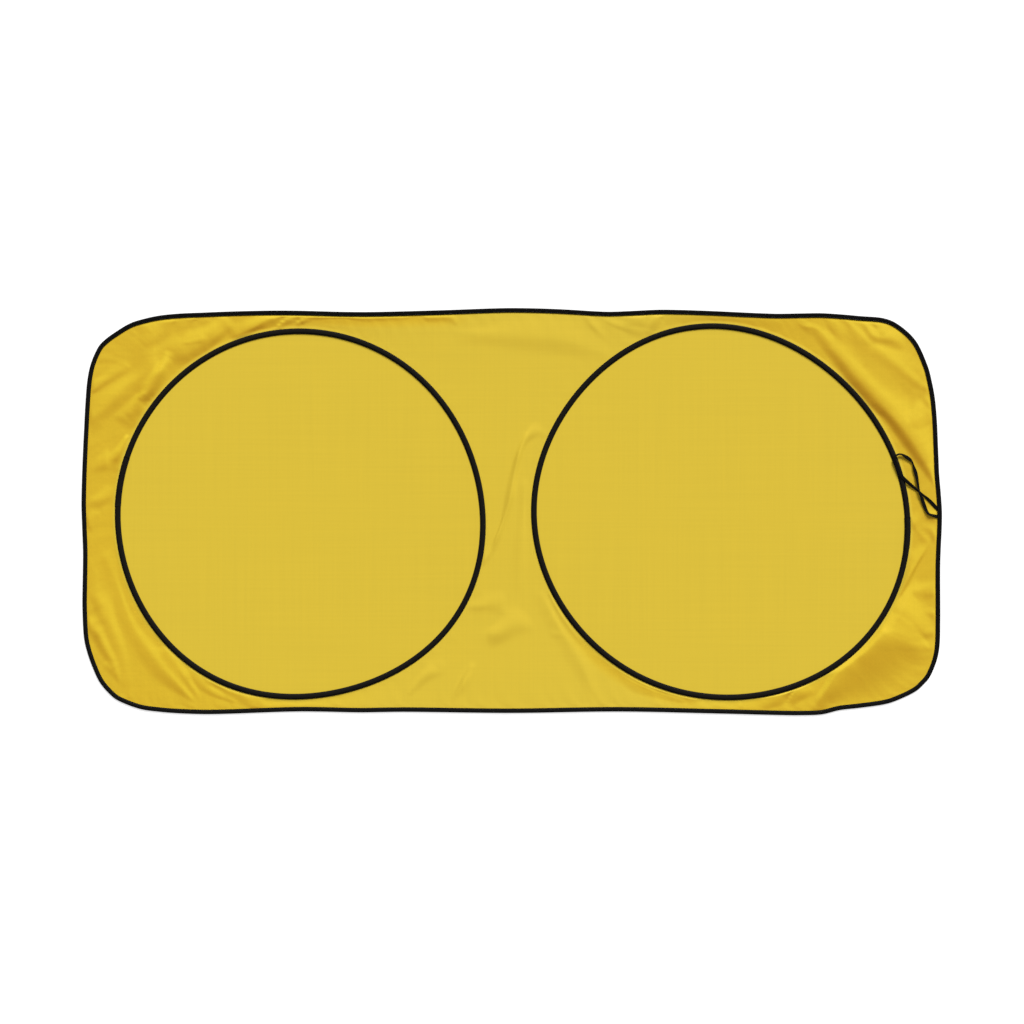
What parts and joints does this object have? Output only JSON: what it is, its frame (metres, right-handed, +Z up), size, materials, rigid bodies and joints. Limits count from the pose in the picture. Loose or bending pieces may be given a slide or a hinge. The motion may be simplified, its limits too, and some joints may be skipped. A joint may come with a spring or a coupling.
{
  "type": "folding windscreen sunshade",
  "caption": "Rounded cloth windscreen sunshade laid out flat, with spring wire hoops in sewn tape rings, a bound edge and an elastic storage loop.",
  "frame": {"origin": "middle of the laid-out sunshade, on the surface that it lies on", "axes": "+X along the sheet's length towards the end with the elastic loop, +Y across the sheet, +Z up out of its front face"},
  "size_m": [1.5, 0.71, 0.0087],
  "materials": {
    "taffeta": "yellow woven polyester taffeta, silver coated on the back",
    "binding_tape": "black woven polyester tape, matt",
    "casing_tape": "black woven polyester tape, matt",
    "spring_steel": "drawn spring-steel wire, bare",
    "ferrule_steel": "crimped steel tube, satin",
    "elastic": "black braided flat elastic"
  },
  "bodies": {
    "root": {"fabric_panel": "taffeta", "edge_binding": "binding_tape", "left_hoop_casing": "casing_tape", "right_hoop_casing": "casing_tape", "left_hoop_wire": "spring_steel", "right_hoop_wire": "spring_steel", "left_wire_ferrule": "ferrule_steel", "right_wire_ferrule": "ferrule_steel", "elastic_loop": "elastic"}
  },
  "joints": []
}
